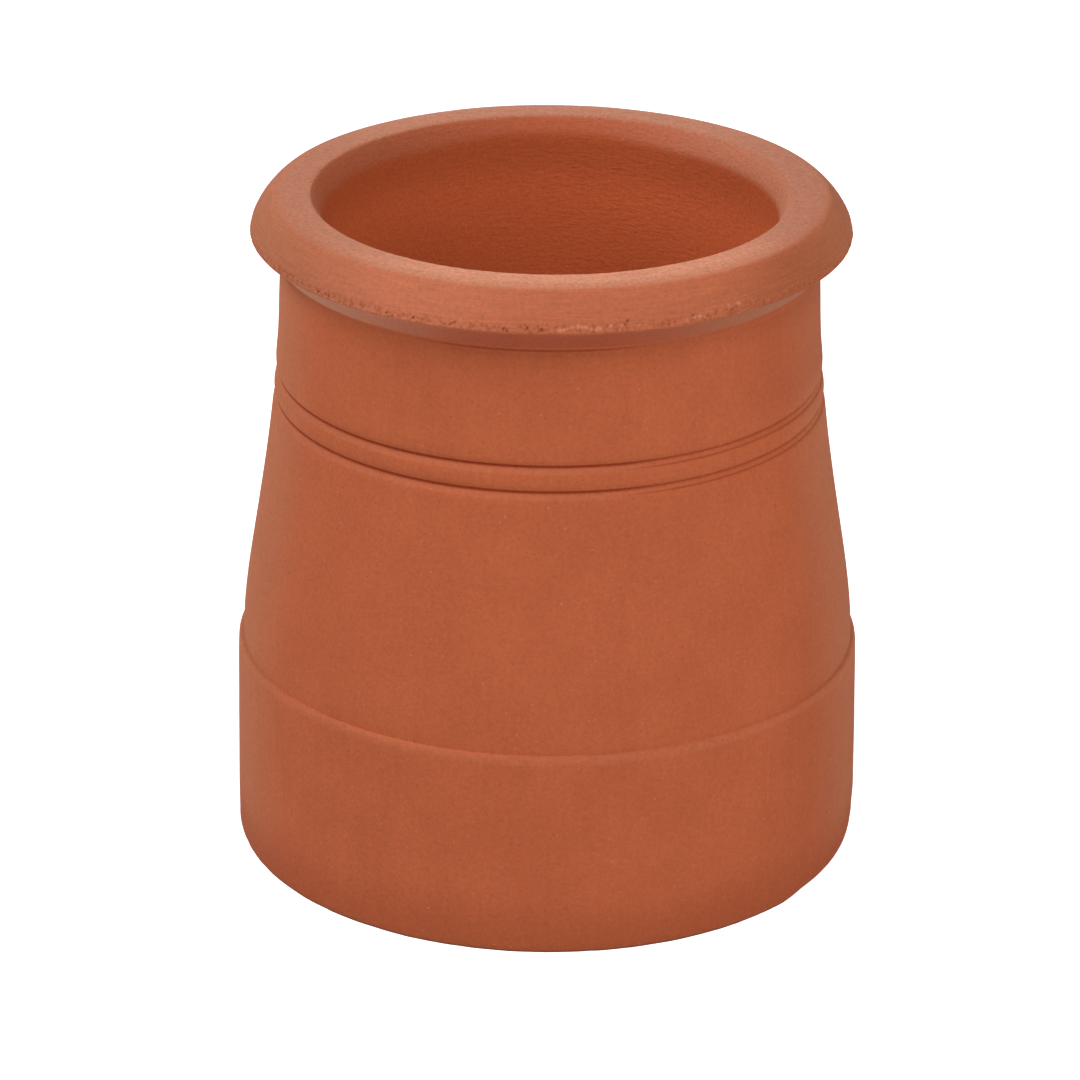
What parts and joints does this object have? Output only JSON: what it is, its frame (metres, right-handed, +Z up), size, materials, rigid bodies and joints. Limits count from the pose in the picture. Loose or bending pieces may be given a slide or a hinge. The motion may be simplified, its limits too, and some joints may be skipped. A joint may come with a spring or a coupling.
{
  "type": "chimney pot",
  "caption": "Short round terracotta chimney pot: plain wide skirt with a ledge, body drawing in to a neck with scored grooves, heavy projecting rim and an open flue.",
  "frame": {"origin": "centre of the underside, on the pot's axis", "axes": "+Z up along the flue, from the skirt to the rim; the pot is round, so +X and +Y are alike"},
  "size_m": [0.2806, 0.2806, 0.3],
  "materials": {
    "terracotta": "unglazed fired clay, matte and finely grained"
  },
  "bodies": {
    "root": {"chimney_pot": "terracotta"}
  },
  "joints": []
}
